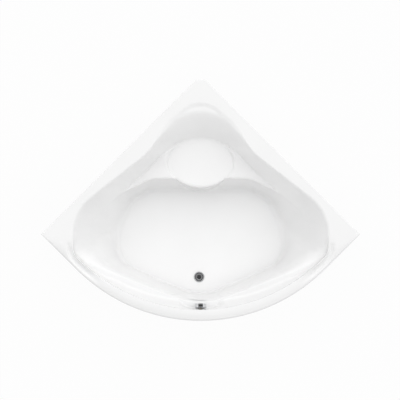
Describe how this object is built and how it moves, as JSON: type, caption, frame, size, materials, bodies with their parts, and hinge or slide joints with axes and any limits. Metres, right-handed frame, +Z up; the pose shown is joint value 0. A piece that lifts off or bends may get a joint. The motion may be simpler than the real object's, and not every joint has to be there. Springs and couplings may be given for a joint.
{
  "type": "corner bathtub",
  "caption": "Moulded corner bathtub with curved front, seat, armrests and front ledge, knob-operated pop-up waste, front panel and a cradle on adjustable feet.",
  "frame": {"origin": "on the floor, under the middle of the plan's bounding box", "axes": "+Y towards the room corner, -Y towards the curved front, +X along the greatest width, +Z up"},
  "size_m": [2.1214, 1.6066, 0.6],
  "materials": {
    "acrylic": "gloss white",
    "chrome": "polished",
    "zinc_steel": "zinc plated",
    "chipboard": "raw pressed board",
    "rubber": "matt black",
    "white_plastic": "satin white",
    "black_plastic": "matt black",
    "brass": "machined"
  },
  "bodies": {
    "bath": {"bath_shell": "acrylic", "base_board": "chipboard", "seat_board": "chipboard", "right_rim_batten": "chipboard", "left_rim_batten": "chipboard", "front_rim_batten": "chipboard", "front_cross_rail": "zinc_steel", "rear_cross_rail": "zinc_steel", "centre_rail": "zinc_steel", "rail_end_caps": "black_plastic", "seat_prop": "zinc_steel", "board_screws": "zinc_steel", "weld_nuts": "zinc_steel", "right_wall_hangers": "zinc_steel", "left_wall_hangers": "zinc_steel", "front_panel": "acrylic", "left_panel_arm": "zinc_steel", "right_panel_arm": "zinc_steel", "panel_arm_bolts": "zinc_steel", "panel_screws": "zinc_steel", "panel_screw_caps": "white_plastic", "panel_clips": "zinc_steel", "panel_clip_screws": "zinc_steel", "waste_top_seal": "rubber", "waste_gasket": "rubber", "waste_flange": "chrome", "waste_body": "white_plastic", "trap_body": "white_plastic", "trap_seal": "rubber", "trap_nut": "white_plastic", "outlet_pipe": "white_plastic", "outlet_seal": "rubber", "outlet_nut": "white_plastic", "overflow_gasket": "rubber", "overflow_face_plate": "chrome", "overflow_body": "white_plastic", "overflow_pipe": "white_plastic", "pipe_clamps": "zinc_steel", "control_cable": "black_plastic"},
    "knob": {"overflow_knob": "chrome", "knob_spindle": "brass", "cable_crank": "white_plastic"},
    "plug": {"plug_cap": "chrome", "plug_seal": "rubber", "plug_stem": "brass"},
    "foot_front_left": {"foot_stud_front_left": "zinc_steel", "foot_pad_front_left": "black_plastic", "foot_nut_front_left": "zinc_steel"},
    "foot_front_right": {"foot_stud_front_right": "zinc_steel", "foot_pad_front_right": "black_plastic", "foot_nut_front_right": "zinc_steel"},
    "foot_rear_left": {"foot_stud_rear_left": "zinc_steel", "foot_pad_rear_left": "black_plastic", "foot_nut_rear_left": "zinc_steel"},
    "foot_rear_right": {"foot_stud_rear_right": "zinc_steel", "foot_pad_rear_right": "black_plastic", "foot_nut_rear_right": "zinc_steel"},
    "foot_back": {"foot_stud_back": "zinc_steel", "foot_pad_back": "black_plastic", "foot_nut_back": "zinc_steel"}
  },
  "joints": [
    {"name": "knob_turn", "type": "hinge", "parent": "bath", "child": "knob", "pos_m": [0, -0.72884, 0.545], "axis": [0, 1, 0], "range_deg": [0, 90]},
    {"name": "plug_lift", "type": "slide", "parent": "bath", "child": "plug", "axis": [0, 0, 1], "range_m": [0, 0.012]},
    {"name": "foot_screw_front_left", "type": "slide", "parent": "bath", "child": "foot_front_left", "axis": [0, 0, -1], "range_m": [0, 0.025]},
    {"name": "foot_screw_front_right", "type": "slide", "parent": "bath", "child": "foot_front_right", "axis": [0, 0, -1], "range_m": [0, 0.025]},
    {"name": "foot_screw_rear_left", "type": "slide", "parent": "bath", "child": "foot_rear_left", "axis": [0, 0, -1], "range_m": [0, 0.025]},
    {"name": "foot_screw_rear_right", "type": "slide", "parent": "bath", "child": "foot_rear_right", "axis": [0, 0, -1], "range_m": [0, 0.025]},
    {"name": "foot_screw_back", "type": "slide", "parent": "bath", "child": "foot_back", "axis": [0, 0, -1], "range_m": [0, 0.025]}
  ],
  "couplings": [
    {"joint": "plug_lift", "follows": "knob_turn", "m_per_rad": 0.0076394}
  ]
}
